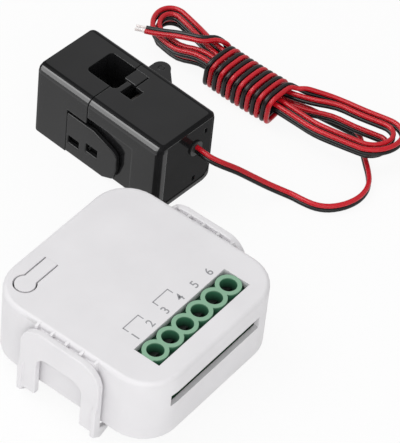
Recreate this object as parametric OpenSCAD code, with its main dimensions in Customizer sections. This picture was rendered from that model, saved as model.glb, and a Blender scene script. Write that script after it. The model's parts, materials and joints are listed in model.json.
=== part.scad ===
// Energy monitor: a square meter module with screw terminals, and a split-core current clamp
// on a twin cord that is wound into a hank. Millimetres, +Z up.
// Origin: centre of the underside of the meter. The terminal side faces -Y.

/* [Meter housing] */
// Width of the housing along X
meter_w = 46; // [42:0.5:60]
// Depth of the housing along Y
meter_d = 46; // [42:0.5:60]
// Height of the housing
meter_h = 17.6; // [17.2:0.1:24]
// Radius of the upright corners
corner_r = 9; // [5:0.5:10]
// Radius of the top edge
edge_r = 1.1; // [0.4:0.1:1.5]
// Thickness of the side walls
wall = 1.2; // [1:0.1:2]
// Thickness of the top
roof = 1.8; // [1.2:0.1:2]

/* [Base and board] */
// Thickness of the base plate
base_t = 1.5; // [1:0.1:2.5]
// Height of the posts that carry the board
post_h = 4.2; // [3:0.1:5]
// Thickness of the circuit board
board_t = 1.6; // [1:0.1:2]
// Clearance between pieces that fit into each other
fit_gap = 0.3; // [0.15:0.05:0.5]
// Radius of the board screws
board_screw_r = 1; // [0.6:0.1:1.2]

/* [Terminals] */
// Distance between neighbouring terminals
pitch = 5; // [4.6:0.1:5.2]
// Middle of the terminal row along X
row_x = 0.25; // [-1:0.05:1]
// Middle of the terminal row along Y, from the wall outside
row_inset = 8.15; // [7.8:0.05:9]
// Radius of the screw wells
well_r = 1.95; // [1.8:0.05:2.1]
// Width of the rim round each well
rim = 1; // [0.6:0.1:1.1]
// Height of the wire slot in the wall
wire_slot_h = 3.3; // [2:0.1:3.6]
// Length of the wire slot
wire_slot_l = 30; // [26:0.5:31]
// How far the clamp cages rise
cage_travel = 1.1; // [0.6:0.1:1.2]

/* [Button] */
// Distance of the button from the side of the housing
button_side = 6.55; // [6:0.05:9]
// Distance of the button from the back of the housing
button_back = 5.5; // [5.4:0.1:8]
// Radius of the round hole
button_r = 2.7; // [2:0.1:3]
// Width of the tongue
tongue_w = 3.05; // [2:0.05:4]
// Length of the tongue from the button's middle to its root
tongue_l = 8.9; // [6:0.1:10]
// Width of the slit round the tongue
slit = 0.38; // [0.2:0.02:0.6]

/* [Snap arms] */
// Gap between the housing wall and an arm
arm_gap = 0.8; // [0.4:0.1:0.9]
// Thickness of an arm
arm_t = 1.6; // [1:0.1:2.4]
// Width of an arm along Y
arm_w = 21.6; // [18:0.2:26]
// Height of the top of an arm
arm_top = 17.2; // [15:0.1:17.2]
// Radius of the upper corners of an arm
arm_corner_r = 5.5; // [2:0.5:7]
// Width of each leg
leg_w = 4.6; // [3:0.1:6]
// Height of the arch between the legs
arch_top = 10; // [6:0.5:11]
// Radius of the arch corners
arch_r = 3; // [1:0.5:5]
// How far the legs reach below the housing
leg_drop = 2.2; // [1.6:0.1:3]
// How far the hooks reach below the housing
foot_drop = 4.4; // [4.4:0.1:5]
// How far below the housing the hooks start to slope inwards
hook_start = 1; // [0.9:0.1:1.2]
// How far the hooks reach inwards
hook_reach = 3.2; // [1.5:0.1:4]
// Thickness of the hook ribs
rib_t = 1.2; // [0.8:0.1:1.6]
// Thickness of the gussets between an arm and the housing
gusset_t = 0.7; // [0.5:0.1:1.2]
// Distance between neighbouring gussets
gusset_pitch = 4; // [3:0.1:4.4]

/* [Clamp] */
// Length of the clamp
ct_l = 38.9; // [38:0.1:46]
// Width of the clamp
ct_w = 19.4; // [19:0.1:24]
// Height of the clamp
ct_h = 20.5; // [19:0.1:26]
// Rounding of the long top edges
ct_round = 2; // [0.5:0.1:2]
// Rounding of the short top edges
end_round = 0.8; // [0.3:0.1:1]
// Rounding of the lower edge of the body, below the hinge
under_round = 3.5; // [2:0.1:4]
// Radius of the upright corners of the clamp
ct_corner_r = 1.6; // [0.8:0.1:2]
// Wall of the clamp shells
ct_wall = 1.2; // [1:0.1:1.4]
// Split plane, from the middle of the clamp
split_a = -2.7; // [-3:0.1:-2.4]
// Gap between the jaw and the body along the split
split_gap = 0.25; // [0.1:0.05:0.4]
// Length of the cable window
window_l = 9.2; // [7:0.1:9.6]
// Width of the cable window
window_w = 8.6; // [6:0.1:8.8]
// Middle of the cable window across the clamp
window_b = 1.7; // [1.4:0.05:2]
// Radius of the corners of the cable window
window_r = 1.2; // [0.5:0.1:2]
// How far the cable window reaches past the split plane
window_past = 1.5; // [1:0.1:1.8]
// Radius of the hinge pin
pin_r = 0.75; // [0.5:0.05:0.8]
// Thickness of the latch clip
latch_t = 1.2; // [0.8:0.1:1.2]
// Thickness of the core
core_t = 1.5; // [1:0.1:1.6]
// Distance of the core from the top and from the bottom of the clamp
core_inset = 4.25; // [4.2:0.05:6]

/* [Cord] */
// Diameter of each wire
wire_d = 1.2; // [1:0.05:1.25]
// Turns of cord wound round the waist of the hank
wraps = 7; // [5:1:8]

/* [Hidden] */
$fn = 48;
eps = 0.05;
ways = 6;
floor_z = -foot_drop;

// Meter levels
half_w = meter_w / 2;
half_d = meter_d / 2;
roof_z = meter_h - roof;
board_z = base_t + post_h;
board_top = board_z + board_t;
inner_w = meter_w - 2 * wall;
inner_d = meter_d - 2 * wall;
inner_r = corner_r - wall;

// Terminal block, built up from the board and down from the top
row_y = -half_d + row_inset;
rim_r = well_r + rim;
block_l = ways * pitch + 1;
block_front = row_y - 5.5;
block_back = row_y + 4.5;
block_top = roof_z - 0.4;
rim_top = meter_h - 0.1;
cage_w = pitch - 1.7;
cage_front = row_y - 2.2;
cage_l = 4.5;
cage_floor_t = 0.6;
cage_roof_t = 0.8;
pocket_gap = 0.2;
pocket_z = board_top + 0.8;
cage_z = pocket_z + 0.1;
cage_window_z = cage_z + cage_floor_t;
bar_t = 0.6;
cage_window_h = 2.4;
bar_z = cage_window_z + cage_window_h - 0.1 - bar_t;
cage_h = cage_floor_t + cage_window_h + cage_roof_t;
pocket_top = cage_z + cage_h + cage_travel + 0.1;
screw_roof_t = 0.5;
head_z = pocket_top + screw_roof_t + eps;
head_h = 1;
shank_r = 1.2;
pin_back = block_back - 0.5;
wire_slot_z = cage_window_z;
cutout_l = block_l + 2 * pocket_gap - 0.4;
cutout_d = 2 * rim_r + 0.9;

// Button and switch
button_x = half_w - button_side;
button_y = half_d - button_back;
switch_w = 3.6;
switch_h = 2.6;
plunger_r = 0.9;
plunger_h = 0.9;
stem_gap = 0.15;

// Board layout, set out from the walls and the terminal block
part_gap = 0.5;
post_r = 2;
screw_head_r = 1.8 * board_screw_r;
corner_x = inner_w / 2 - 3.4;
corner_front_y = block_back + part_gap + post_r;
corner_back_y = inner_d / 2 - 9.4;
wifi_size = [11.5, 16, 0.8];
wifi_x = -corner_x + screw_head_r + part_gap;
wifi_y = block_back + 1.4;
shield_size = [10, 10, 2.2];
chip_size = [4.4, 4, 1.5];
transformer_size = [9.4, 9, roof_z - board_top - 0.4];
transformer_x = inner_w / 2 - 6.7 - transformer_size[0];
transformer_y = block_back + 1.5;
rectifier_size = [4, 5, 2.5];
varistor_r = 3.5;
varistor_t = 3.4;
varistor_x = inner_w / 2 - 5.6 - varistor_t;
fuse_r = 1.5;
fuse_l = 8;
fuse_x = varistor_x - 0.9 - fuse_r;
capacitor_r = 3;
capacitor_l = 10;
capacitor_x = fuse_x - fuse_r - part_gap - capacitor_l;
led_size = [1.6, 1, 0.7];

// Snap arms
arm_in = half_w + arm_gap;
arm_out = arm_in + arm_t;
arm_y = 0.2;
gussets = 5;

// Clamp placed beside the meter, its cable end towards -Y
ct_x = 46.3;
ct_y = 40.6;
ct_yaw = 265.7;
ct_half_l = ct_l / 2;
ct_half_w = ct_w / 2;
window_a1 = split_a + window_past;
window_a0 = window_a1 - window_l;
window_b0 = window_b - window_w / 2;
window_b1 = window_b + window_w / 2;
latch_gap = 0.3;
recess_d = latch_t + latch_gap;
latch_a0 = split_a - 6.3;
latch_a1 = split_a + 9.6;
latch_top = 12.3;
hinge_a = split_a + 3;
ear_gap = 0.25;
ear_r = 1.35;
hinge_b = ct_half_w + ear_gap + ear_r;
lug_r = 2.3;
ear_z0 = 6.5;
ear_z1 = 14;
lug_z0 = 2;
lug_z1 = ct_h - 1.1;

// Core and coil
core_z = core_inset;
core_h = ct_h - 2 * core_inset;
leg_near_b = window_b1 + ct_wall - 0.2;
leg_far_b = window_b0 - ct_wall - core_t;
cavity_a0 = window_a1 + ct_wall;
cavity_a1 = ct_half_l - 2.4;
cap_a = ct_half_l - 0.15;
corner_narrows = 0.6;
cap_slots = [[6.2, 16.4], [3.4, 2.9]];
cap_slot_w = 0.9;
cap_slot_h = 1.4;
cap_slot_d = 0.6;
cavity_b0 = -ct_half_w + recess_d + ct_wall;
cavity_b1 = ct_half_w - 0.9;
limb_a = cavity_a0 + 4.2;
limb_t = 3;
flange_t = 0.8;
former_t = 0.6;
limb_b0 = leg_far_b + core_t;
limb_b1 = leg_near_b;
core_gap = 0.1;
jaw_base_a = window_a0 - ct_wall - 3;
jaw_base_t = 3;

// Cable finger in the top of the clamp
finger_b0 = window_b1 - 4.1;
finger_a0 = split_a + 0.2;
finger_a1 = split_a + 3.8;
finger_t = 1.2;

// Cord
exit_b = 3;
exit_z = 13;
exit_l = 0.3;
exit_r = 2;
pair_off = wire_d / 2 + 0.05;
rest_h = floor_z + 2 * pair_off + 0.1;
lead_sides = 8;
loop_sides = 6;
// Route of the free stretch between the grommet and the hank, as x, y and height of the pair's middle
lead_route = [
  [47.5, 16.8, 8.5], [48.6, 14.2, 7.6], [51.5, 11.5, 5.2], [54.5, 9, 2.2],
  [57.5, 6.6, -0.8], [59.6, 4.2, -2.6], [60.5, 1.4, -3], [60.8, -1.7, -3], [61.5, -4.7, -3],
  [63.2, -7.3, -3], [66.2, -9.4, -3], [69.7, -10.5, -3], [73, -10.4, -3], [75.9, -9.3, -3],
  [78.4, -7.3, -3], [80.7, -4.9, -3], [82.8, -2.7, -3], [84.9, -0.7, -3], [86.6, 1.3, -3],
  [87.2, 3.3, -3]
];
lead_steps = 2;

// Hank: three turns in two layers that are drawn in at the waist, then the turns round the waist
hank_y = 26.1;
hank_x = 80.2;
hank_bow = 5;
hank_half = 35;
hank_end_r = 5.2;
hank_step = wire_d + 0.7;
hank_waist = hank_step + wire_d / 2 + 0.22;
hank_arc_u = hank_half - hank_end_r;
layer_h = 4 * pair_off + 0.35;
climb_turn = 1.25;
loop_turns = 3.168;
first_turn = 0.156;
arc_share = 0.12;
run_share = 0.26;
wrap_u = 3.95;
wrap_pitch = 4 * pair_off + 0.3;
wrap_half = wraps * wrap_pitch / 2;
wrap_w = hank_waist + wire_d + 0.85;
wrap_h = layer_h / 2 + 2 * pair_off + wire_d / 2 + 0.8;
wrap_shift = -hank_step / 4;
wrap_rings = 18;
wrap_power = 0.6;
wrap_run_in = 4;
waist_h = floor_z + wrap_h + wire_d / 2 + 0.05;
left_h = rest_h + layer_h / 2;
right_h = waist_h + 1.1;
// Route from the last loop to the waist, as distance along the hank, side step and height
join_route = [[-15.2, 6.1, 3.1], [-12.2, 5.3, 3.3], [-9.7, 4.4, 3.5]];
// Route of the tail over the left loops, as distance along the hank, side step and height
tail_route = [[21.5, -2, 4.2], [25, -3.6, 3.5], [27.8, -5.4, 3], [30.2, -7, 2.7], [32, -8.2, 2.6]];
bare_l = 2.5;
bare_r = 0.35;

// Helpers
function unit(v) = v / norm(v);
function ease(x) = let(c = min(1, max(0, x))) c * c * (3 - 2 * c);
function turn_z(p, a) = [p[0] * cos(a) - p[1] * sin(a), p[0] * sin(a) + p[1] * cos(a), p[2]];
function ahead(p, i) = unit(p[min(i + 1, len(p) - 1)] - p[max(i - 1, 0)]);
function square_to(n, t) = unit(n - t * (n * t));

module rounded_plate(w, d, h, r) {
  linear_extrude(h) {
    square([w, d - 2 * r], center = true);
    square([w - 2 * r, d], center = true);
    for (sx = [-1, 1], sy = [-1, 1])
      translate([sx * (w / 2 - r), sy * (d / 2 - r)]) circle(r);
  }
}

module box(lo, hi) {
  translate(lo) cube(hi - lo);
}

// Stands a flat outline, drawn as y and z, upright and gives it a thickness along +X
module upright(t) {
  rotate([90, 0, 90]) linear_extrude(t) children();
}

module at_poles() {
  for (i = [1 : ways]) translate([pole_x(i), row_y, 0]) children();
}

function pole_x(i) = row_x + (i - (ways + 1) / 2) * pitch;

module on_clamp() {
  translate([ct_x, ct_y, floor_z]) rotate([0, 0, ct_yaw]) children();
}

// Meter shell
module corner_post() {
  rotate_extrude($fn = 32) {
    square([corner_r, meter_h - edge_r]);
    square([corner_r - edge_r, meter_h]);
    translate([corner_r - edge_r, meter_h - edge_r]) circle(edge_r, $fn = 24);
  }
}

module shell_outside() {
  hull() for (sx = [-1, 1], sy = [-1, 1])
    translate([sx * (half_w - corner_r), sy * (half_d - corner_r), 0]) corner_post();
}

module gusset_rows() {
  inner_x = half_w - wall / 2;
  row_l = (gussets - 1) * gusset_pitch;
  web_drop = 1;
  for (side = [0, 1]) mirror([side, 0, 0]) translate([0, arm_y - row_l / 2, 0]) {
    for (i = [0 : gussets - 1])
      translate([0, i * gusset_pitch + gusset_t / 2, 0]) rotate([90, 0, 0]) linear_extrude(gusset_t)
        polygon([
          [inner_x, arm_top - 5], [half_w, arm_top - 5], [arm_in, arm_top - 3.6],
          [arm_in, arm_top], [half_w - edge_r, meter_h - eps], [inner_x, meter_h - edge_r]
        ]);
    box([inner_x, 0, arm_top - 3.6], [arm_in - eps, row_l, arm_top - web_drop]);
  }
}

module button_opening(grow) {
  linear_extrude(roof + 2) {
    translate([-button_x, button_y]) circle(button_r - slit + grow);
    translate([-button_x, button_y - tongue_w / 2 - grow])
      square([tongue_l, tongue_w + 2 * grow]);
  }
}

module meter_housing() {
  color("whitesmoke") {
    difference() {
      shell_outside();
      translate([0, 0, -1]) rounded_plate(inner_w, inner_d, roof_z + 1, inner_r);
      translate([row_x - cutout_l / 2, row_y - cutout_d / 2, roof_z - 1])
        cube([cutout_l, cutout_d, roof + 2]);
      translate([row_x - wire_slot_l / 2 - 1.3, -half_d - 1, wire_slot_z])
        cube([wire_slot_l, wall + 2, wire_slot_h]);
      translate([0, 0, roof_z - 1]) button_opening(slit);
    }
    gusset_rows();
  }
}

module meter_base() {
  plate_w = inner_w - 2 * fit_gap;
  plate_d = inner_d - 2 * fit_gap;
  color("gainsboro") difference() {
    union() {
      rounded_plate(plate_w, plate_d, base_t, inner_r - fit_gap);
      at_board_corners() cylinder(r = post_r, h = board_z);
    }
    at_board_corners() translate([0, 0, base_t]) cylinder(r = board_screw_r + eps, h = board_z);
  }
}

module at_board_corners() {
  for (side = [-1, 1], y = [corner_front_y, corner_back_y])
    translate([side * corner_x, y, 0]) children();
}

// Snap arm at +X, its inner face touching the gussets
module arm_outline() {
  y0 = arm_y - arm_w / 2;
  gap_w = arm_w - 2 * leg_w;
  difference() {
    union() {
      translate([y0, -leg_drop]) square([arm_w, arm_top - arm_corner_r + leg_drop]);
      translate([y0 + arm_corner_r, 0]) square([arm_w - 2 * arm_corner_r, arm_top]);
      for (y = [y0 + arm_corner_r, y0 + arm_w - arm_corner_r])
        translate([y, arm_top - arm_corner_r]) circle(arm_corner_r);
    }
    translate([y0 + leg_w, -leg_drop - 1]) square([gap_w, arch_top - arch_r + leg_drop + 1]);
    translate([y0 + leg_w + arch_r, 0]) square([gap_w - 2 * arch_r, arch_top]);
    for (y = [y0 + leg_w + arch_r, y0 + arm_w - leg_w - arch_r])
      translate([y, arch_top - arch_r]) circle(arch_r);
  }
}

module arm_hook() {
  rotate([90, 0, 0]) linear_extrude(rib_t)
    polygon([
      [arm_in + eps, 2], [arm_in + eps, -hook_start], [arm_in - hook_reach, -leg_drop - 0.3],
      [arm_in - hook_reach, -leg_drop - 1], [arm_in - 0.6, -foot_drop], [arm_in, -foot_drop],
      [arm_out + 0.6, -leg_drop - 0.6], [arm_out + 0.6, 5], [arm_out - eps, 7]
    ]);
}

module snap_arm() {
  translate([arm_in, 0, 0]) upright(arm_t) arm_outline();
  for (y = [arm_y - arm_w / 2 + rib_t, arm_y + arm_w / 2]) translate([0, y, 0]) arm_hook();
}

module snap_arm_right() {
  color("white") snap_arm();
}

module snap_arm_left() {
  color("white") mirror([1, 0, 0]) snap_arm();
}

module button_tongue() {
  stem_z = board_top + switch_h + plunger_h + stem_gap;
  color("white") {
    translate([0, 0, roof_z]) intersection() {
      button_opening(0);
      cube([meter_w, meter_d, 2 * roof], center = true);
    }
    translate([-button_x, button_y, stem_z]) cylinder(r = 1.1, h = roof_z - stem_z + eps);
  }
}

// Terminals
module terminal_body() {
  pocket_w = cage_w + 2 * pocket_gap;
  entry_w = cage_w - 0.4;
  color("seagreen") difference() {
    union() {
      box([row_x - block_l / 2, block_front, board_top], [row_x + block_l / 2, block_back, block_top]);
      at_poles() cylinder(r = rim_r, h = rim_top);
      box([row_x - block_l / 2, row_y - 1.5, block_top - eps], [pole_x(1), row_y + 1.5, rim_top]);
    }
    box([-meter_w, -meter_d, -1], [meter_w, meter_d, board_top]);
    at_poles() {
      translate([0, 0, head_z - eps]) cylinder(r = well_r, h = meter_h);
      translate([0, 0, pocket_z]) cylinder(r = shank_r + 0.2, h = meter_h);
      translate([-pocket_w / 2, cage_front - row_y - pocket_gap, pocket_z])
        cube([pocket_w, cage_l + 2 * pocket_gap, pocket_top - pocket_z]);
      translate([-entry_w / 2, block_front - row_y - 1, cage_window_z])
        cube([entry_w, cage_front - block_front + 1, cage_window_h]);
      translate([-1.1, 0, board_top - 1])
        cube([2.2, pin_back - row_y + 0.1, bar_z + bar_t + 0.1 - board_top + 1]);
    }
  }
}

module terminal_screw(i) {
  color("silver") translate([pole_x(i), row_y, 0]) difference() {
    union() {
      translate([0, 0, head_z]) cylinder(r = well_r - 0.15, h = head_h);
      translate([0, 0, bar_z + bar_t + eps]) cylinder(r = shank_r, h = head_z - bar_z - bar_t);
    }
    translate([-well_r, -0.3, head_z + head_h - 0.6]) cube([2 * well_r, 0.6, 1]);
  }
}

module clamp_cage(i) {
  side_t = 0.5;
  color("lightsteelblue") translate([pole_x(i), 0, 0]) difference() {
    box([-cage_w / 2, cage_front, cage_z], [cage_w / 2, cage_front + cage_l, cage_z + cage_h]);
    translate([-cage_w / 2 + side_t, cage_front - 1, cage_window_z])
      cube([cage_w - 2 * side_t, cage_l + 2, cage_window_h]);
    translate([0, row_y, cage_window_z]) cylinder(r = shank_r + 0.1, h = cage_h);
  }
}

module terminal_pins() {
  color("goldenrod") at_poles() {
    box([-0.9, cage_front - row_y + 0.2, bar_z], [0.9, pin_back - row_y, bar_z + bar_t]);
    box([-0.9, pin_back - row_y - bar_t, board_z - 1], [0.9, pin_back - row_y, bar_z + eps]);
  }
}

// Circuit board and what it carries
module main_board() {
  color("darkgreen") difference() {
    translate([0, 0, board_z])
      rounded_plate(inner_w - 1, inner_d - 1, board_t, inner_r - 0.5);
    at_board_corners() translate([0, 0, board_z - 1])
      cylinder(r = board_screw_r + eps, h = board_t + 2);
    at_poles() box([-1, pin_back - row_y - bar_t - 0.1, 0], [1, pin_back - row_y + 0.1, board_top + 1]);
  }
}

module board_screws() {
  color("silver") at_board_corners() {
    translate([0, 0, board_z - 3]) cylinder(r = board_screw_r, h = board_t + 3);
    translate([0, 0, board_top]) cylinder(r = screw_head_r, h = 1);
  }
}

module on_board(x, y, size) {
  translate([x, y, board_top]) cube(size);
}

module wifi_board() {
  color("midnightblue") on_board(wifi_x, wifi_y, wifi_size);
}

module wifi_shield() {
  edge = (wifi_size[0] - shield_size[0]) / 2;
  color("silver") translate([0, 0, wifi_size[2]]) on_board(wifi_x + edge, wifi_y + edge, shield_size);
}

module metering_chip() {
  color("dimgray") on_board(wifi_x + wifi_size[0] + part_gap, transformer_y, chip_size);
}

module power_transformer() {
  color("khaki") on_board(transformer_x, transformer_y, transformer_size);
}

module bulk_capacitors() {
  back_y = inner_d / 2 - 1 - capacitor_r;
  color("darkslategray") for (y = [back_y - 2 * capacitor_r - part_gap, back_y])
    translate([capacitor_x, y, board_top + capacitor_r]) rotate([0, 90, 0])
      cylinder(r = capacitor_r, h = capacitor_l);
}

module bridge_rectifier() {
  x = inner_w / 2 - 1.8 - rectifier_size[0];
  color("black") on_board(x, corner_front_y + screw_head_r + part_gap, rectifier_size);
}

module varistor() {
  y = inner_d / 2 - 2.4 - varistor_r;
  color("royalblue") translate([varistor_x, y, board_top + varistor_r]) rotate([0, 90, 0])
    cylinder(r = varistor_r, h = varistor_t);
}

module fuse_resistor() {
  y = inner_d / 2 - 5 - fuse_l;
  color("lightblue") translate([fuse_x, y, board_top + fuse_r]) rotate([-90, 0, 0])
    cylinder(r = fuse_r, h = fuse_l);
}

module tact_switch_body() {
  color("dimgray") difference() {
    on_board(-button_x - switch_w / 2, button_y - switch_w / 2, [switch_w, switch_w, switch_h]);
    translate([-button_x, button_y, board_top + 1]) cylinder(r = plunger_r + 0.1, h = switch_h);
  }
}

module tact_switch_plunger() {
  color("black") translate([-button_x, button_y, board_top + 1.8])
    cylinder(r = plunger_r, h = switch_h + plunger_h - 1.8);
}

module status_led() {
  color("lime") on_board(-button_x + switch_w, button_y, led_size);
}

// Clamp
module clamp_block(a0, a1) {
  intersection() {
    box([a0, -ct_w, 0], [a1, ct_w, ct_h]);
    hull() for (turn = [0 : 30 : 90]) {
      inset = 1 - cos(turn);
      rounded_plate(
        ct_l - 2 * end_round * inset, ct_w - 2 * ct_round * inset,
        ct_h - ct_round * (1 - sin(turn)), ct_corner_r * (1 - corner_narrows * inset), $fn = 32
      );
    }
  }
}

// What a rounding of radius r takes off the lower edge below the hinge
module lower_edge(a0, a1, r) {
  difference() {
    box([a0, ct_half_w - under_round, -1], [a1, ct_half_w + 1, under_round]);
    translate([a0 - 1, ct_half_w - under_round, under_round]) rotate([0, 90, 0])
      cylinder(r = r, h = a1 - a0 + 2);
  }
}

// Hollow of the body, made smaller all round by a gap
module coil_space(a0, a1, gap) {
  difference() {
    box([a0, cavity_b0 + gap, ct_wall + gap], [a1, cavity_b1 - gap, ct_h - ct_wall - gap]);
    lower_edge(a0 - 1, a1 + 1, under_round - ct_wall - gap);
  }
}

module clamp_window() {
  translate([(window_a0 + window_a1) / 2, window_b, -1])
    rounded_plate(window_l, window_w, ct_h + 2, window_r);
}

module leg_slots(a0, a1, gap) {
  for (b = [leg_far_b, leg_near_b])
    box([a0, b - gap, core_z - gap], [a1, b + core_t + gap, core_z + core_h + gap]);
}

module hinge_lug(z0, z1) {
  translate([0, 0, z0]) linear_extrude(z1 - z0) {
    translate([hinge_a, hinge_b]) circle(lug_r);
    polygon([
      [hinge_a - lug_r, ct_half_w - 0.5], [hinge_a + 4.9, ct_half_w - 0.5], [hinge_a + 4.9, ct_half_w],
      [hinge_a + 1, hinge_b + lug_r - 0.3], [hinge_a - lug_r, hinge_b]
    ]);
  }
}

module ct_body() {
  finger_z = ct_h - finger_t - 1;
  color([0.16, 0.16, 0.17]) on_clamp() difference() {
    union() {
      difference() {
        clamp_block(split_a, ct_half_l);
        lower_edge(split_a - 1, ct_half_l + 1, under_round);
      }
      hinge_lug(lug_z0, ear_z0 - ear_gap);
      hinge_lug(ear_z1 + ear_gap, lug_z1);
    }
    clamp_window();
    coil_space(cavity_a0, ct_half_l + 1, 0);
    leg_slots(split_a - 1, cavity_a0 + 1, core_gap);
    translate([hinge_a, hinge_b, 0]) cylinder(r = pin_r + eps, h = ct_h);
    box([split_a - 1, -ct_half_w - 1, -1], [latch_a1 + 4.4, -ct_half_w + recess_d, latch_top + 3]);
    box([split_a - 1, finger_b0 - slit, finger_z], [finger_a1 + slit, window_b1, ct_h + 1]);
    translate([0, 0, finger_z]) linear_extrude(finger_t + 2)
      polygon([
        [finger_a1 - 1, finger_b0 - slit + eps], [finger_a1 + 2.7, finger_b0 - slit + eps],
        [finger_a1 + 2.7, window_b0 + 0.3], [finger_a1 - 1.1, window_b0 + 0.3]
      ]);
  }
}

module ct_end_cap() {
  color([0.2, 0.2, 0.21]) on_clamp() difference() {
    intersection() {
      coil_space(cavity_a1, cap_a, eps);
      rounded_plate(2 * cap_a, ct_w, ct_h, ct_corner_r);
    }
    translate([cavity_a1 - 1, exit_b, exit_z]) rotate([0, 90, 0])
      cylinder(r = exit_r - 0.5 + eps, h = 5);
    for (place = cap_slots)
      translate([cap_a, place[0], place[1]])
        cube([2 * cap_slot_d, cap_slot_w, cap_slot_h], center = true);
  }
}

module ct_jaw() {
  leg_end = jaw_base_a + jaw_base_t;
  color([0.16, 0.16, 0.17]) on_clamp() difference() {
    union() {
      clamp_block(-ct_half_l, split_a - split_gap);
      translate([0, 0, ear_z0]) linear_extrude(ear_z1 - ear_z0) {
        translate([hinge_a, hinge_b]) circle(ear_r);
        polygon([
          [split_a - 5.3, ct_half_w - 0.2], [split_a - 0.2, ct_half_w - 0.2],
          [split_a - 0.2, hinge_b - ear_r], [hinge_a, hinge_b - ear_r],
          [hinge_a, hinge_b + ear_r], [hinge_a - 2, hinge_b + ear_r], [split_a - 5.3, ct_half_w + 0.2]
        ]);
      }
    }
    clamp_window();
    translate([hinge_a, hinge_b, 0]) cylinder(r = pin_r + 0.1, h = ct_h);
    leg_slots(leg_end - 1, split_a + 1, core_gap);
    box(
      [-ct_half_l + ct_wall, leg_far_b - core_gap, ct_wall],
      [leg_end + core_gap, leg_near_b + core_t + core_gap, ct_h - ct_wall - 1]
    );
    jaw_cover_space(core_gap, -1, ct_wall);
    box([latch_a0, -ct_half_w - 1, -1], [split_a + 1, -ct_half_w + recess_d, latch_top + 1]);
  }
}

module jaw_cover_space(gap, z0, z1) {
  box(
    [-ct_half_l + ct_wall - gap, -ct_half_w + recess_d + ct_wall - gap, z0],
    [jaw_base_a + jaw_base_t + gap, ct_half_w - ct_wall + gap, z1]
  );
}

module ct_jaw_cover() {
  color([0.22, 0.22, 0.23]) on_clamp() jaw_cover_space(0, 0, ct_wall);
}

module ct_hinge_pin() {
  color("silver") on_clamp() translate([hinge_a, hinge_b, lug_z0]) cylinder(r = pin_r, h = lug_z1 - lug_z0);
}

// Latch clip: springs from the jaw and lies along the side of the body, with two windows
module ct_latch() {
  color([0.2, 0.2, 0.21]) on_clamp() translate([0, -ct_half_w + latch_t, 0])
    rotate([90, 0, 0]) linear_extrude(latch_t) difference() {
      polygon([
        [latch_a0, 0.2], [latch_a1 - 4, 0.2], [latch_a1 - 1, 1.6], [latch_a1, 5],
        [latch_a1, 9], [latch_a1 - 1.2, 10.2], [split_a + 2, latch_top], [latch_a0, latch_top]
      ]);
      translate([split_a - 5.6, 3.3]) square([3.4, 2.3]);
      translate([split_a, 4.5]) square([3.6, 2.5]);
    }
}

module ct_tongue() {
  color([0.2, 0.2, 0.21]) on_clamp()
    box([finger_a0, finger_b0, ct_h - finger_t], [finger_a1, window_b1, ct_h]);
}

module ct_core_fixed() {
  color("slategray") on_clamp() {
    leg_slots(split_a, limb_a + limb_t, 0);
    box([limb_a, leg_far_b + eps, core_z], [limb_a + limb_t, leg_near_b + eps, core_z + core_h]);
  }
}

module ct_core_moving() {
  color("slategray") on_clamp() {
    leg_slots(jaw_base_a, split_a, 0);
    box([jaw_base_a, leg_far_b + eps, core_z], [jaw_base_a + jaw_base_t, leg_near_b + eps, core_z + core_h]);
  }
}

module core_spring() {
  leaf_t = 0.4;
  back_a = -ct_half_l + ct_wall;
  color("silver") on_clamp() {
    box([back_a, window_b - 4, ct_h / 2 - 3], [back_a + leaf_t, window_b + 4, ct_h / 2 + 3]);
    box([back_a, window_b - 1, ct_h / 2 - 2], [jaw_base_a, window_b + 1, ct_h / 2 + 2]);
  }
}

module ct_bobbin() {
  out = flange_t + former_t + 1.2;
  color("ivory") on_clamp() difference() {
    union() {
      winding_box(former_t, former_t, limb_b0 + 0.3, limb_b1 - 0.3);
      winding_box(out, out, limb_b0 + 0.3, limb_b0 + 0.3 + flange_t);
      winding_box(out, out, limb_b1 - 0.3 - flange_t, limb_b1 - 0.3);
    }
    winding_box(core_gap, core_gap, limb_b0 - 1, limb_b1 + 1);
  }
}

module winding_box(grow_a, grow_z, b0, b1) {
  box([limb_a - grow_a, b0, core_z - grow_z], [limb_a + limb_t + grow_a, b1, core_z + core_h + grow_z]);
}

module ct_coil() {
  out = former_t + 1.6;
  color("peru") on_clamp() difference() {
    winding_box(out, out, limb_b0 + 0.35 + flange_t, limb_b1 - 0.35 - flange_t);
    winding_box(former_t + eps, former_t + eps, limb_b0, limb_b1);
  }
}

// Grommet in the end cap, with a hole for each wire
module cord_exit() {
  color([0.12, 0.12, 0.12]) on_clamp() translate([cavity_a1, exit_b, exit_z]) rotate([0, 90, 0])
    difference() {
      union() {
        cylinder(r = exit_r - 0.5, h = cap_a - cavity_a1);
        translate([0, 0, cap_a - cavity_a1]) cylinder(r = exit_r, h = ct_half_l + exit_l - cap_a);
      }
      for (s = [-1, 1]) translate([s * pair_off, 0, -1]) cylinder(r = wire_d / 2 - 0.05, h = 9);
    }
}

// Tube of short straight lengths along a list of points
function side_dirs(p) = [
  for (i = 0, n = square_to([0.31, 0.17, 0.93], ahead(p, 0)); i < len(p);
       i = i + 1, n = square_to(n, ahead(p, min(i, len(p) - 1)))) n
];

module tube(p, r, sides) {
  n = side_dirs(p);
  count = len(p);
  rings = [
    for (i = [0 : count - 1], k = [0 : sides - 1])
      let(a = 360 * k / sides, t = ahead(p, i))
      p[i] + r * (cos(a) * n[i] + sin(a) * cross(t, n[i]))
  ];
  skin = [
    for (i = [0 : count - 2], k = [0 : sides - 1])
      let(a = i * sides + k, b = i * sides + (k + 1) % sides)
      each [[a, a + sides, b], [b, a + sides, b + sides]]
  ];
  last = (count - 1) * sides;
  caps = [for (k = [1 : sides - 2]) each [[0, k, k + 1], [last, last + k + 1, last + k]]];
  polyhedron(rings, concat(skin, caps), convexity = 8);
}

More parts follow.
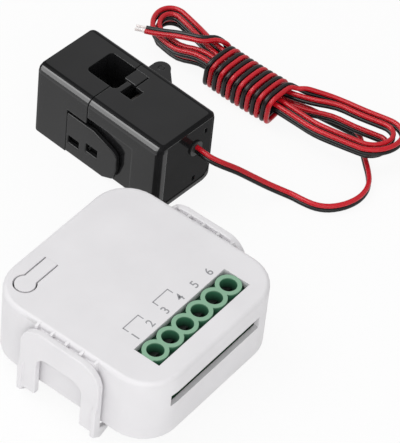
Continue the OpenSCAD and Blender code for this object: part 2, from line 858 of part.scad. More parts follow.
// Smooth curve through hand-chosen points
function blend_at(a, b, c, d, s) = 0.5 * (
  2 * b + (c - a) * s + (2 * a - 5 * b + 4 * c - d) * s * s + (3 * b - a - 3 * c + d) * s * s * s
);
function smooth_through(p, steps) = [
  for (i = [0 : len(p) - 2], k = [0 : steps - 1])
    blend_at(p[max(i - 1, 0)], p[i], p[i + 1], p[min(i + 2, len(p) - 1)], k / steps),
  p[len(p) - 1]
];

// Hank frame: u along the bowed axis, w across it, h the height
function on_hank(u, w, h) = [hank_x + hank_bow * pow(u / hank_half, 2) + w, hank_y + u, h];
function middle_h(u) = waist_h
  + (left_h - waist_h) * ease((u - wrap_u - wrap_half - 1) / 11)
  + (right_h - waist_h) * ease((wrap_u - wrap_half - 1 - u) / 11);
function inset(t) = hank_step * (t < climb_turn ? t : 2 * climb_turn - t);
function swell(u) = ease((abs(u - wrap_u) - wrap_half - 0.5) / 12);
function layer_at(t) = layer_h * (ease((t - climb_turn) / run_share + 0.5) - 0.5);
function run_w(t, u) = let(waist = hank_waist - inset(t), end = hank_end_r - inset(t))
  waist + (end - waist) * swell(u);
function loop_uw(t) = let(f = t - floor(t), r = hank_end_r - inset(t))
  f < arc_share ? let(a = 90 * f / arc_share) [-hank_arc_u - r * cos(a), r * sin(a)]
  : f < arc_share + run_share ? let(u = hank_arc_u * (2 * (f - arc_share) / run_share - 1)) [u, run_w(t, u)]
  : f < 1 - arc_share - run_share ? let(a = 90 * (f - 0.5) / arc_share) [hank_arc_u + r * cos(a), -r * sin(a)]
  : f < 1 - arc_share ?
    let(u = hank_arc_u * (1 - 2 * (f - 1 + arc_share + run_share) / run_share)) [u, -run_w(t, u)]
  : let(a = 90 * (1 - f) / arc_share) [-hank_arc_u - r * cos(a), -r * sin(a)];
function first_rise(u) = ease((u + 20) / 11);
function loop_h(t, u) = let(h = middle_h(u) + layer_at(t))
  t < 0.35 ? rest_h + (h - rest_h) * first_rise(u) : h;
loop_stops = [
  for (turn = [0 : 3], f = [
    each [for (k = [0 : 4]) arc_share * k / 5], each [for (k = [0 : 9]) arc_share + run_share * k / 10],
    each [for (k = [0 : 9]) 0.5 - arc_share + 2 * arc_share * k / 10],
    each [for (k = [0 : 9]) 1 - arc_share - run_share + run_share * k / 10],
    each [for (k = [0 : 4]) 1 - arc_share + arc_share * k / 5]
  ]) if (turn + f > first_turn + 0.01 && turn + f < loop_turns - 0.01) turn + f
];
loop_turn_list = concat([first_turn], loop_stops, [loop_turns]);
loop_middle = concat(
  [for (t = loop_turn_list) let(q = loop_uw(t)) on_hank(q[0], q[1], loop_h(t, q[0]))],
  [for (q = join_route) on_hank(q[0], q[1], q[2])]
);
loop_up = [for (q = loop_middle) [0, 0, -1]];

// Free stretch, from the grommet to the first loop
function on_clamp_point(a, b, z) = [ct_x, ct_y, floor_z] + turn_z([a, b, z], ct_yaw);
lead_start = on_clamp_point(ct_half_l + exit_l, exit_b, exit_z);
lead_middle = smooth_through(concat([lead_start], lead_route, [loop_middle[0]]), lead_steps);
function lead_wire(s) = [for (q = lead_middle) q + [0, 0, s * pair_off]];

// Turns round the waist, from the right end of the waist to its left end
wrap_from = 40;
wrap_to = wraps * 360 + 90;
function signed_power(x) = sign(x) * pow(abs(x), wrap_power);
function wrap_at(a) = let(
    early = max(0, (90 - a) / 90), late = max(0, (a - wrap_to + 90) / 90),
    u = wrap_u - wrap_half + wrap_pitch * (a - 45) / 360 + wrap_run_in * (late * late - early * early)
  ) on_hank(u, wrap_shift + wrap_w * signed_power(cos(a)), waist_h + wrap_h * signed_power(sin(a)));
wrap_angles = [
  for (k = [0 : wraps * wrap_rings]) wrap_from + (wrap_to - wrap_from) * k / (wraps * wrap_rings)
];
wrap_middle = [for (a = wrap_angles) wrap_at(a)];
tail_middle = [for (q = tail_route) on_hank(q[0], q[1], q[2])];
wound = concat(wrap_middle, tail_middle);
wound_out = concat(
  [for (a = wrap_angles) unit([cos(a) / wrap_w, 0, sin(a) / wrap_h])],
  [for (q = tail_route) [0, 0, 1]]
);
wound_side = [for (i = [0 : len(wound) - 1]) unit(cross(ahead(wound, i), wound_out[i]))];
hank_middle = concat(loop_middle, wound);
hank_side = concat(loop_up, wound_side);
function hank_wire(s) = [
  for (i = [0 : len(hank_middle) - 1]) hank_middle[i] - s * pair_off * hank_side[i]
];

// Least gap of a tube to itself, from each point to each stretch that lies further along it
function to_stretch(p, a, b) = let(d = b - a, s = min(1, max(0, (p - a) * d / (d * d)))) norm(p - a - s * d);
function self_gap(p, apart, d) = min([
  for (i = [0 : len(p) - 1]) for (j = [i + apart : 1 : len(p) - 2]) to_stretch(p[i], p[j], p[j + 1])
]) - d;
function route_length(p) = len(p) < 2 ? 0 : let(steps = [for (i = [1 : len(p) - 1]) norm(p[i] - p[i - 1])])
  steps * [for (s = steps) 1];

union() {
  echo(least_gap_red = self_gap(hank_wire(1), 7, wire_d));
  echo(least_gap_black = self_gap(hank_wire(-1), 7, wire_d));
  echo(lead_length = route_length(lead_wire(1)), hank_length = route_length(hank_wire(1)));
}

module cord_lead_red() {
  color("crimson") tube(lead_wire(1), wire_d / 2, lead_sides);
}

module cord_lead_black() {
  color([0.1, 0.1, 0.1]) tube(lead_wire(-1), wire_d / 2, lead_sides);
}

module hank_red() {
  color("crimson") tube(hank_wire(1), wire_d / 2, loop_sides);
}

module hank_black() {
  color([0.1, 0.1, 0.1]) tube(hank_wire(-1), wire_d / 2, loop_sides);
}

module bare_ends() {
  color("silver") for (s = [-1, 1]) {
    wire = hank_wire(s);
    count = len(wire);
    along = unit(wire[count - 1] - wire[count - 2]);
    tube([wire[count - 1], wire[count - 1] + bare_l * along], bare_r, lead_sides);
  }
}

meter_housing();
meter_base();
snap_arm_left();
snap_arm_right();
button_tongue();
terminal_body();
terminal_pins();
terminal_screw(1);  // terminal_screw_1
terminal_screw(2);  // terminal_screw_2
terminal_screw(3);  // terminal_screw_3
terminal_screw(4);  // terminal_screw_4
terminal_screw(5);  // terminal_screw_5
terminal_screw(6);  // terminal_screw_6
clamp_cage(1);  // clamp_cage_1
clamp_cage(2);  // clamp_cage_2
clamp_cage(3);  // clamp_cage_3
clamp_cage(4);  // clamp_cage_4
clamp_cage(5);  // clamp_cage_5
clamp_cage(6);  // clamp_cage_6
main_board();
board_screws();
wifi_board();
wifi_shield();
metering_chip();
power_transformer();
bulk_capacitors();
bridge_rectifier();
varistor();
fuse_resistor();
tact_switch_body();
tact_switch_plunger();
status_led();
ct_body();
ct_end_cap();
ct_jaw();
ct_jaw_cover();
ct_hinge_pin();
ct_latch();
ct_tongue();
ct_core_fixed();
ct_core_moving();
core_spring();
ct_bobbin();
ct_coil();
cord_exit();
cord_lead_red();
cord_lead_black();
hank_red();
hank_black();
bare_ends();
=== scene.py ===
import bmesh
import bpy
import json
import math
from mathutils import Matrix, Vector


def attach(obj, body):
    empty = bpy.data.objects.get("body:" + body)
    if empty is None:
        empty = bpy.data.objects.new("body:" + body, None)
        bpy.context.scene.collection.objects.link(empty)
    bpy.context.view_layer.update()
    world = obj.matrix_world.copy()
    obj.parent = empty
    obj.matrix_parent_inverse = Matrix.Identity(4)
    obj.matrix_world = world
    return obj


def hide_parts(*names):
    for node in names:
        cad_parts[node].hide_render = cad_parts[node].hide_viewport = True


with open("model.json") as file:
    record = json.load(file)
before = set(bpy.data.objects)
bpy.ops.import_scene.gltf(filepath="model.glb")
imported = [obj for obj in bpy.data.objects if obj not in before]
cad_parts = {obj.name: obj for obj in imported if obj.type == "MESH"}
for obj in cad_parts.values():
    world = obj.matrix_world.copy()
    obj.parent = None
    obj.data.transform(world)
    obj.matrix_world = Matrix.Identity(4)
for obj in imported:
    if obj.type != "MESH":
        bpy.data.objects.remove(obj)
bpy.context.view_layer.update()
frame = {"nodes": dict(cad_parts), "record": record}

# Lengths are in millimetres, and MM turns them into metres
MM = 0.001
FLOOR_Z = -4.4
BODY_OF = {
    node: body
    for body, names in frame["record"]["behaviour"]["bodies"].items()
    for node in names
}
SLOT_OF = {row["node"]: row["material_slot"] for row in frame["record"]["subparts"]}


def mm(x, y, z):
    return Vector((x, y, z)) * MM


# Camera, fitted to the photograph's 400 by 443 frame
FRAME_W = 400
FRAME_H = 443
FOCAL_PX = 3030
AXIS_U = 213.4
AXIS_V = 217.1
SENSOR = 36
CAMERA_AT = mm(-358.46, -252.4, 494.8)
CAMERA_RIGHT = Vector((0.61476, -0.78455, 0.08088))
CAMERA_UP = Vector((0.53407, 0.48954, 0.68929))
CAMERA_BACK = Vector((-0.58038, -0.38055, 0.71996))
CLIP_NEAR = 10
CLIP_FAR = 20000


def add_camera():
    data = bpy.data.cameras.new("camera")
    data.sensor_width = SENSOR
    data.lens = FOCAL_PX * SENSOR / FRAME_H
    data.shift_x = (FRAME_W / 2 - AXIS_U) / FRAME_H
    data.shift_y = (AXIS_V - FRAME_H / 2) / FRAME_H
    data.clip_start = CLIP_NEAR * MM
    data.clip_end = CLIP_FAR * MM
    camera = bpy.data.objects.new("camera", data)
    bpy.context.collection.objects.link(camera)
    turn = Matrix((CAMERA_RIGHT, CAMERA_UP, CAMERA_BACK)).transposed()
    camera.matrix_world = Matrix.Translation(CAMERA_AT) @ turn.to_4x4()
    bpy.context.scene.camera = camera


# Materials
NOISE_LOW = 0.3
NOISE_HIGH = 0.7
EDGE_SAMPLES = 6
CLOUD_SCALE = 90
GLOSS_SCALE = 260
GRAIN_STRENGTH = 0.35
LINES_SCALE = 900
LINES_STRENGTH = 0.2
LINES_MM = 0.02
# Green block: painted shade, darker towards the bottom of the wells, and painted light, paler on their
# rims
GREEN_LOW_Z = 14
GREEN_TOP_Z = 17.5
GREEN_RIM_LIGHT_FROM = 0.86
GREEN_PAINTED_SHADE = (0.012, 0.05, 0.03)
GREEN_WALL = (0.05, 0.19, 0.105)
GREEN_PAINTED_RIM_LIGHT = (0.23, 0.42, 0.285)
GREEN_ROUGH = (0.36, 0.48)
GREEN_GLOSS_SCALE = 300
GREEN_GRAIN_SCALE = 4200
GREEN_GRAIN_MM = 0.015
GREEN_EDGE_MM = 0.12
CLAMP_SHINE = 0.25
# Mirror shine that paints a highlight on the clamp's long upper edges
HIGHLIGHT_SHINE = 0.5
# Mirror shine that paints shade on the clamp's other rounded faces and on its end cap
SHADE_SHINE = 0.03


def material(name):
    mat = bpy.data.materials.new(name)
    mat.use_nodes = True
    nodes = mat.node_tree.nodes
    return mat, nodes, mat.node_tree.links, nodes["Principled BSDF"]


def noise(nodes, links, scale, detail=4.0, stretch=None):
    """Noise over the object's own coordinates, which are in metres."""
    coords = nodes.new("ShaderNodeTexCoord")
    texture = nodes.new("ShaderNodeTexNoise")
    texture.inputs["Scale"].default_value = scale
    texture.inputs["Detail"].default_value = detail
    if stretch is None:
        links.new(coords.outputs["Object"], texture.inputs["Vector"])
    else:
        mapping = nodes.new("ShaderNodeMapping")
        mapping.inputs["Scale"].default_value = stretch
        links.new(coords.outputs["Object"], mapping.inputs["Vector"])
        links.new(mapping.outputs["Vector"], texture.inputs["Vector"])
    return texture.outputs["Fac"]


def spread(nodes, links, value, low, high):
    """Maps noise to a range of numbers."""
    ranger = nodes.new("ShaderNodeMapRange")
    ranger.inputs["From Min"].default_value = NOISE_LOW
    ranger.inputs["From Max"].default_value = NOISE_HIGH
    ranger.inputs["To Min"].default_value = low
    ranger.inputs["To Max"].default_value = high
    links.new(value, ranger.inputs["Value"])
    return ranger.outputs["Result"]


def ramp(nodes, links, value, stops):
    """Maps a value to colours at the given places."""
    node = nodes.new("ShaderNodeValToRGB")
    elements = node.color_ramp.elements
    while len(elements) < len(stops):
        elements.new(0.5)
    for element, (place, colour) in zip(elements, stops):
        element.position = place
        element.color = (*colour, 1)
    links.new(value, node.inputs["Fac"])
    return node.outputs["Color"]


def tint(nodes, links, value, dark, light):
    """Lets noise vary a colour between two shades."""
    return ramp(nodes, links, value, [(NOISE_LOW, dark), (NOISE_HIGH, light)])


def bump(nodes, links, value, strength, depth_mm, edge_mm=0):
    """Fine relief, over edges that look broken by the given radius."""
    node = nodes.new("ShaderNodeBump")
    if edge_mm > 0:
        edge = nodes.new("ShaderNodeBevel")
        edge.samples = EDGE_SAMPLES
        edge.inputs["Radius"].default_value = edge_mm * MM
        links.new(edge.outputs["Normal"], node.inputs["Normal"])
    node.inputs["Strength"].default_value = strength
    node.inputs["Distance"].default_value = depth_mm * MM
    links.new(value, node.inputs["Height"])
    return node.outputs["Normal"]


def moulded(name, dark, light, rough, grain_scale, grain_mm, specular=0.5, edge_mm=0):
    """Moulded plastic: faint cloudiness in the colour, uneven gloss and a fine grain."""
    mat, nodes, links, bsdf = material(name)
    cloud = noise(nodes, links, CLOUD_SCALE, detail=3)
    links.new(tint(nodes, links, cloud, dark, light), bsdf.inputs["Base Color"])
    gloss = noise(nodes, links, GLOSS_SCALE, detail=5)
    links.new(spread(nodes, links, gloss, *rough), bsdf.inputs["Roughness"])
    grain = noise(nodes, links, grain_scale, detail=3)
    relief = bump(nodes, links, grain, GRAIN_STRENGTH, grain_mm, edge_mm)
    links.new(relief, bsdf.inputs["Normal"])
    bsdf.inputs["Specular IOR Level"].default_value = specular
    return mat


def terminal_green(name):
    """Green moulding, with shade painted dark below in the wells and light painted paler on their rims.
    """
    mat, nodes, links, bsdf = material(name)
    coords = nodes.new("ShaderNodeTexCoord")
    split = nodes.new("ShaderNodeSeparateXYZ")
    links.new(coords.outputs["Object"], split.inputs["Vector"])
    height = nodes.new("ShaderNodeMapRange")
    height.inputs["From Min"].default_value = GREEN_LOW_Z * MM
    height.inputs["From Max"].default_value = GREEN_TOP_Z * MM
    links.new(split.outputs["Z"], height.inputs["Value"])
    stops = [(0, GREEN_PAINTED_SHADE), (GREEN_RIM_LIGHT_FROM, GREEN_WALL), (1, GREEN_PAINTED_RIM_LIGHT)]
    links.new(ramp(nodes, links, height.outputs["Result"], stops), bsdf.inputs["Base Color"])
    gloss = noise(nodes, links, GREEN_GLOSS_SCALE)
    links.new(spread(nodes, links, gloss, *GREEN_ROUGH), bsdf.inputs["Roughness"])
    grain = noise(nodes, links, GREEN_GRAIN_SCALE, detail=3)
    relief = bump(nodes, links, grain, GRAIN_STRENGTH, GREEN_GRAIN_MM, GREEN_EDGE_MM)
    links.new(relief, bsdf.inputs["Normal"])
    return mat


def metal(name, dark, light, rough, stretch=(1, 1, 1)):
    """Plated metal with fine drawn lines."""
    mat, nodes, links, bsdf = material(name)
    lines = noise(nodes, links, LINES_SCALE, stretch=stretch)
    links.new(tint(nodes, links, lines, dark, light), bsdf.inputs["Base Color"])
    links.new(spread(nodes, links, lines, *rough), bsdf.inputs["Roughness"])
    links.new(bump(nodes, links, lines, LINES_STRENGTH, LINES_MM), bsdf.inputs["Normal"])
    bsdf.inputs["Metallic"].default_value = 1
    return mat


def clamp_plastic(name, specular):
    """Glossy black of the clamp, with the given share of mirror shine."""
    return moulded(
        name, (0.009, 0.009, 0.0095), (0.013, 0.013, 0.0138), (0.1, 0.16), 4600, 0.006,
        specular=specular, edge_mm=0.3,
    )


def make_materials():
    """Materials by the record's slot, then those of single pieces."""
    return {
        "white_shell": moulded(
            "white_shell", (0.77, 0.758, 0.775), (0.81, 0.798, 0.815), (0.34, 0.44), 5200, 0.012,
            specular=0.4, edge_mm=0.15,
        ),
        "white_base": moulded(
            "white_base", (0.7, 0.7, 0.7), (0.75, 0.75, 0.75), (0.45, 0.55), 3800, 0.02,
        ),
        "green_block": terminal_green("green_block"),
        "steel": metal("steel", (0.5, 0.5, 0.52), (0.72, 0.72, 0.74), (0.22, 0.38), (1, 1, 6)),
        "tinned_metal": metal("tinned_metal", (0.62, 0.58, 0.5), (0.78, 0.75, 0.68), (0.25, 0.4)),
        "board": moulded("board", (0.02, 0.12, 0.05), (0.03, 0.17, 0.07), (0.3, 0.4), 2600, 0.01),
        "black_parts": moulded(
            "black_parts", (0.02, 0.02, 0.022), (0.035, 0.035, 0.04), (0.4, 0.5), 3000, 0.02,
        ),
        "core_steel": metal("core_steel", (0.16, 0.16, 0.17), (0.25, 0.25, 0.26), (0.4, 0.55)),
        "coil_copper": moulded(
            "coil_tape", (0.008, 0.006, 0.005), (0.013, 0.01, 0.008), (0.5, 0.6), 1500, 0.02,
        ),
        "clamp_black": clamp_plastic("clamp_black", CLAMP_SHINE),
        "grommet": moulded("grommet", (0.012, 0.012, 0.012), (0.02, 0.02, 0.02), (0.5, 0.6), 3000, 0.02),
        "wire_red": moulded(
            "wire_red", (0.5, 0.004, 0.012), (0.6, 0.008, 0.02), (0.24, 0.34), 3400, 0.02, specular=0.3,
        ),
        "wire_black": moulded(
            "wire_black", (0.005, 0.005, 0.0055), (0.01, 0.01, 0.0105), (0.24, 0.34), 3400, 0.02,
            specular=0.25,
        ),
        # Painted highlight: more mirror shine on the clamp's long upper edges
        "clamp_painted_highlight": clamp_plastic("clamp_painted_highlight", HIGHLIGHT_SHINE),
        # Painted shade: little mirror shine, for the clamp's other rounded faces and its end cap
        "clamp_painted_shade": clamp_plastic("clamp_painted_shade", SHADE_SHINE),
        # Painted shade: the screws are coloured near black so that they read as the shade in their wells
        "terminal_screw": metal(
            "terminal_screw", (0.04, 0.045, 0.042), (0.08, 0.085, 0.082), (0.4, 0.55),
        ),
        "bare_strands": metal("bare_strands", (0.62, 0.57, 0.56), (0.8, 0.76, 0.75), (0.3, 0.45)),
        "print_grey": moulded(
            "print_grey", (0.26, 0.26, 0.275), (0.33, 0.33, 0.345), (0.5, 0.6), 2500, 0.005,
        ),
    }


# Cord: the route of the free stretch and the hank, in millimetres, as in the solid model
WIRE_D = 1.2
PAIR_OFF = WIRE_D / 2 + 0.05
REST_H = FLOOR_Z + 2 * PAIR_OFF + 0.1
CORD_EXIT = Vector((47.811, 20.681, 8.6))
LEAD_ROUTE = [
    (47.5, 16.8, 8.5), (48.6, 14.2, 7.6), (51.5, 11.5, 5.2), (54.5, 9, 2.2),
    (57.5, 6.6, -0.8), (59.6, 4.2, -2.6), (60.5, 1.4, -3), (60.8, -1.7, -3), (61.5, -4.7, -3),
    (63.2, -7.3, -3), (66.2, -9.4, -3), (69.7, -10.5, -3), (73, -10.4, -3), (75.9, -9.3, -3),
    (78.4, -7.3, -3), (80.7, -4.9, -3), (82.8, -2.7, -3), (84.9, -0.7, -3), (86.6, 1.3, -3),
    (87.2, 3.3, -3),
]
JOIN_ROUTE = [(-15.2, 6.1, 3.1), (-12.2, 5.3, 3.3), (-9.7, 4.4, 3.5)]
TAIL_ROUTE = [(21.5, -2, 4.2), (25, -3.6, 3.5), (27.8, -5.4, 3), (30.2, -7, 2.7), (32, -8.2, 2.6)]
HANK_X = 80.2
HANK_Y = 26.1
HANK_BOW = 5
HANK_HALF = 35
HANK_END_R = 5.2
HANK_STEP = WIRE_D + 0.7
HANK_WAIST = HANK_STEP + WIRE_D / 2 + 0.22
HANK_ARC_U = HANK_HALF - HANK_END_R
LAYER_H = 4 * PAIR_OFF + 0.35
CLIMB_TURN = 1.25
FIRST_TURN = 0.156
LOOP_TURNS = 3.168
ARC_SHARE = 0.12
RUN_SHARE = 0.26
WRAPS = 7
WRAP_U = 3.95
WRAP_PITCH = 4 * PAIR_OFF + 0.3
WRAP_HALF = WRAPS * WRAP_PITCH / 2
WRAP_W = HANK_WAIST + WIRE_D + 0.85
WRAP_H = LAYER_H / 2 + 2 * PAIR_OFF + WIRE_D / 2 + 0.8
WRAP_SHIFT = -HANK_STEP / 4
WRAP_POWER = 0.6
WRAP_RUN_IN = 4
WRAP_FROM = 40
WRAP_ZERO = 45
WRAP_TO = WRAPS * 360 + 90
WRAP_RINGS = 18
WAIST_H = FLOOR_Z + WRAP_H + WIRE_D / 2 + 0.05
LEFT_H = REST_H + LAYER_H / 2
RIGHT_H = WAIST_H + 1.1
SLOPE_GAP = 1
SLOPE_L = 11
SWELL_GAP = 0.5
SWELL_L = 12
FIRST_RISE_U = -20
FIRST_RISE_TURN = 0.35
ARC_MARKS = 5
RUN_MARKS = 10
MARK_GAP = 0.01
CORD_STEPS = 3
WIRE_ROUNDS = 4
BARE_L = 2.5
STRANDS = 6
STRAND_R = 0.115
STRAND_TWIST = 0.35
STRAND_STEPS = 8
STRAND_SPACING = 2.05
STRAND_TUCK = 1
STRAND_ROUNDS = 2


def ease(x):
    c = min(1, max(0, x))
    return c * c * (3 - 2 * c)


def on_hank(u, w, h):
    return Vector((HANK_X + HANK_BOW * (u / HANK_HALF) ** 2 + w, HANK_Y + u, h))


def middle_h(u):
    """Height of the middle of the loops, which slopes from the waist to both ends."""
    left = (LEFT_H - WAIST_H) * ease((u - WRAP_U - WRAP_HALF - SLOPE_GAP) / SLOPE_L)
    right = (RIGHT_H - WAIST_H) * ease((WRAP_U - WRAP_HALF - SLOPE_GAP - u) / SLOPE_L)
    return WAIST_H + left + right


def inset(t):
    return HANK_STEP * (t if t < CLIMB_TURN else 2 * CLIMB_TURN - t)


def run_w(t, u):
    waist = HANK_WAIST - inset(t)
    end = HANK_END_R - inset(t)
    return waist + (end - waist) * ease((abs(u - WRAP_U) - WRAP_HALF - SWELL_GAP) / SWELL_L)


def loop_uw(t):
    """Place on one turn of the hank: an end arc, a run, the other end arc and the run back."""
    f = t - math.floor(t)
    r = HANK_END_R - inset(t)
    if f < ARC_SHARE:
        a = math.radians(90 * f / ARC_SHARE)
        return -HANK_ARC_U - r * math.cos(a), r * math.sin(a)
    if f < ARC_SHARE + RUN_SHARE:
        u = HANK_ARC_U * (2 * (f - ARC_SHARE) / RUN_SHARE - 1)
        return u, run_w(t, u)
    if f < 1 - ARC_SHARE - RUN_SHARE:
        a = math.radians(90 * (f - 0.5) / ARC_SHARE)
        return HANK_ARC_U + r * math.cos(a), -r * math.sin(a)
    if f < 1 - ARC_SHARE:
        u = HANK_ARC_U * (1 - 2 * (f - 1 + ARC_SHARE + RUN_SHARE) / RUN_SHARE)
        return u, -run_w(t, u)
    a = math.radians(90 * (1 - f) / ARC_SHARE)
    return -HANK_ARC_U - r * math.cos(a), -r * math.sin(a)


def loop_h(t, u):
    layer = LAYER_H * (ease((t - CLIMB_TURN) / RUN_SHARE + 0.5) - 0.5)
    h = middle_h(u) + layer
    if t < FIRST_RISE_TURN:
        return REST_H + (h - REST_H) * ease((u - FIRST_RISE_U) / SLOPE_L)
    return h


def loop_turns():
    """Turn counts at which the loops are set out, closer together on the end arcs."""
    arc = [ARC_SHARE * k / ARC_MARKS for k in range(ARC_MARKS)]
    run = [RUN_SHARE * k / RUN_MARKS for k in range(RUN_MARKS)]
    marks = arc + [ARC_SHARE + f for f in run]
    marks += [0.5 - ARC_SHARE + ARC_SHARE * k / ARC_MARKS for k in range(2 * ARC_MARKS)]
    marks += [1 - ARC_SHARE - RUN_SHARE + f for f in run]
    marks += [1 - ARC_SHARE + f for f in arc]
    turns = [turn + f for turn in range(math.ceil(LOOP_TURNS)) for f in marks]
    inner = [t for t in turns if FIRST_TURN + MARK_GAP < t < LOOP_TURNS - MARK_GAP]
    return [FIRST_TURN, *inner, LOOP_TURNS]


def signed_power(x):
    return math.copysign(abs(x) ** WRAP_POWER, x)


def wrap_at(angle):
    a = math.radians(angle)
    early = max(0, (90 - angle) / 90)
    late = max(0, (angle - WRAP_TO + 90) / 90)
    u = WRAP_U - WRAP_HALF + WRAP_PITCH * (angle - WRAP_ZERO) / 360 + WRAP_RUN_IN * (late**2 - early**2)
    w = WRAP_SHIFT + WRAP_W * signed_power(math.cos(a))
    return on_hank(u, w, WAIST_H + WRAP_H * signed_power(math.sin(a)))


def ahead(points, i):
    return (points[min(i + 1, len(points) - 1)] - points[max(i - 1, 0)]).normalized()


def cord_middle():
    """Middle of the twin cord, and the way from its red wire to its black one, at each point."""
    loops = []
    for t in loop_turns():
        u, w = loop_uw(t)
        loops.append(on_hank(u, w, loop_h(t, u)))
    loops += [on_hank(*q) for q in JOIN_ROUTE]
    lead = [CORD_EXIT, *[Vector(q) for q in LEAD_ROUTE]]
    angles = []
    angle = WRAP_FROM
    while angle <= WRAP_TO:
        angles.append(angle)
        angle += (WRAP_TO - WRAP_FROM) / (WRAPS * WRAP_RINGS)
    wound = [wrap_at(a) for a in angles] + [on_hank(*q) for q in TAIL_ROUTE]
    outwards = []
    for a in angles:
        r = math.radians(a)
        outwards.append(Vector((math.cos(r) / WRAP_W, 0, math.sin(r) / WRAP_H)).normalized())
    outwards += [Vector((0, 0, 1))] * len(TAIL_ROUTE)
    sides = [ahead(wound, i).cross(out).normalized() for i, out in enumerate(outwards)]
    down = [Vector((0, 0, -1))] * (len(lead) + len(loops))
    return lead + loops + wound, down + sides


def smooth_through(points, steps):
    """Smooth curve through the points, with a few more between each two."""
    out = []
    last = len(points) - 1
    for i in range(last):
        a, b = points[max(i - 1, 0)], points[i]
        c, d = points[i + 1], points[min(i + 2, last)]
        for k in range(steps):
            s = k / steps
            square = (2 * a - 5 * b + 4 * c - d) * s * s
            cube = (3 * b - a - 3 * c + d) * s**3
            out.append(0.5 * (2 * b + (c - a) * s + square + cube))
    return out + [points[last]]


def wire_points(side):
    middle, sides = cord_middle()
    return [p + side * PAIR_OFF * s for p, s in zip(middle, sides)]


def add_spline(curve, points):
    spline = curve.splines.new("POLY")
    spline.points.add(len(points) - 1)
    for place, p in zip(spline.points, points):
        place.co = (*(p * MM), 1)


def add_bare_ends(mat):
    """Stripped ends: a bundle of fine strands with a slow twist on each wire."""
    curve = bpy.data.curves.new("bare_strands", "CURVE")
    curve.dimensions = "3D"
    curve.bevel_depth = STRAND_R * MM
    curve.bevel_resolution = STRAND_ROUNDS
    curve.use_fill_caps = True
    for wire in (wire_points(-1), wire_points(1)):
        end = wire[-1]
        along = (end - wire[-2]).normalized()
        across = along.cross(Vector((0, 0, 1))).normalized()
        over = across.cross(along)
        add_spline(curve, [end - along * STRAND_TUCK, end + along * BARE_L])
        for k in range(STRANDS):
            strand = []
            for step in range(STRAND_STEPS + 1):
                s = step / STRAND_STEPS
                a = 2 * math.pi * (k / STRANDS + STRAND_TWIST * s)
                out = STRAND_SPACING * STRAND_R * (across * math.cos(a) + over * math.sin(a))
                reach = s * (BARE_L + STRAND_TUCK) - STRAND_TUCK
                strand.append(end + along * reach + out)
            add_spline(curve, strand)
    curve.materials.append(mat)
    piece = bpy.data.objects.new("bare_strands", curve)
    bpy.context.collection.objects.link(piece)
    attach(piece, "monitor")
    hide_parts("bare_ends")
    return piece


def add_wire(name, side, mat, nodes):
    points = smooth_through(wire_points(side), CORD_STEPS)
    curve = bpy.data.curves.new(name, "CURVE")
    curve.dimensions = "3D"
    curve.bevel_depth = WIRE_D / 2 * MM
    curve.bevel_resolution = WIRE_ROUNDS
    curve.use_fill_caps = True
    add_spline(curve, points)
    curve.materials.append(mat)
    piece = bpy.data.objects.new(name, curve)
    bpy.context.collection.objects.link(piece)
    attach(piece, "monitor")
    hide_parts(*nodes)
    return piece


# Rigid pieces: the solid model's shape with its edges broken as moulding leaves them
SAME_PLACE = 0.0001 * MM
FLAT_JOIN_DEG = 0.4
SMOOTH_DEG = 35
EDGE_SEGMENTS = 3
FLATS_WEIGHT = 100


def refined(node, mat, edge_mm):
    source = frame["nodes"][node]
    bm = bmesh.new()
    bm.from_mesh(source.data)
    bmesh.ops.remove_doubles(bm, verts=bm.verts, dist=SAME_PLACE)
    flat = math.radians(FLAT_JOIN_DEG)
    bmesh.ops.dissolve_limit(bm, angle_limit=flat, verts=bm.verts, edges=bm.edges)
    corner = math.radians(SMOOTH_DEG)
    sharp = [e for e in bm.edges if e.is_manifold and e.calc_face_angle(0) > corner]
    if edge_mm > 0:
        bmesh.ops.bevel(
            bm, geom=sharp, offset=edge_mm * MM, segments=EDGE_SEGMENTS, profile=0.5, affect="EDGES",
            clamp_overlap=True,
        )
    bmesh.ops.dissolve_degenerate(bm, edges=bm.edges, dist=SAME_PLACE)
    mesh = bpy.data.meshes.new(node + "_finished")
    bm.to_mesh(mesh)
    bm.free()
    mesh.shade_smooth()
    mesh.set_sharp_from_angle(angle=corner)
    mesh.materials.append(mat)
    piece = bpy.data.objects.new(node + "_finished", mesh)
    bpy.context.collection.objects.link(piece)
    flats = piece.modifiers.new("flats", "WEIGHTED_NORMAL")
    flats.keep_sharp = True
    flats.weight = FLATS_WEIGHT
    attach(piece, BODY_OF[node])
    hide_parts(node)
    return piece


# Faces of the clamp shells, told apart by their normal in the clamp's own frame, which get a painted
# highlight or painted shade
CLAMP_TURN = 265.7
FLAT_DEG = 8
HIGHLIGHT_UP = 0.15
SHADE_UP = 0.9
HIGHLIGHT_END = 0.3


def rub_edges(piece, highlight, shade):
    """Paints a highlight on the long upper edges of a clamp shell with more mirror shine, and paints
    shade on its other rounded faces with less.
    """
    piece.data.materials.append(highlight)
    piece.data.materials.append(shade)
    turn = Matrix.Rotation(math.radians(CLAMP_TURN), 3, "Z")
    for face in piece.data.polygons:
        local = face.normal @ turn
        steepest = max(abs(x) for x in local)
        if steepest < math.cos(math.radians(FLAT_DEG)):
            long_edge = HIGHLIGHT_UP < local.z < SHADE_UP and abs(local.x) < HIGHLIGHT_END
            face.material_index = 1 if long_edge else 2


EDGES = {
    "meter_housing": 0, "snap_arm_left": 0.3, "snap_arm_right": 0.3, "button_tongue": 0,
    "meter_base": 0.2, "terminal_body": 0.15, "ct_body": 0.35, "ct_jaw": 0.35, "ct_latch": 0.25,
    "ct_end_cap": 0.2, "ct_tongue": 0.2, "cord_exit": 0.3, "ct_jaw_cover": 0.15, "ct_hinge_pin": 0.15,
}


def look_of(node):
    if node.startswith("terminal_screw"):
        return "terminal_screw"
    # The end cap takes little mirror shine, which paints shade on it
    if node == "ct_end_cap":
        return "clamp_painted_shade"
    return SLOT_OF[node]


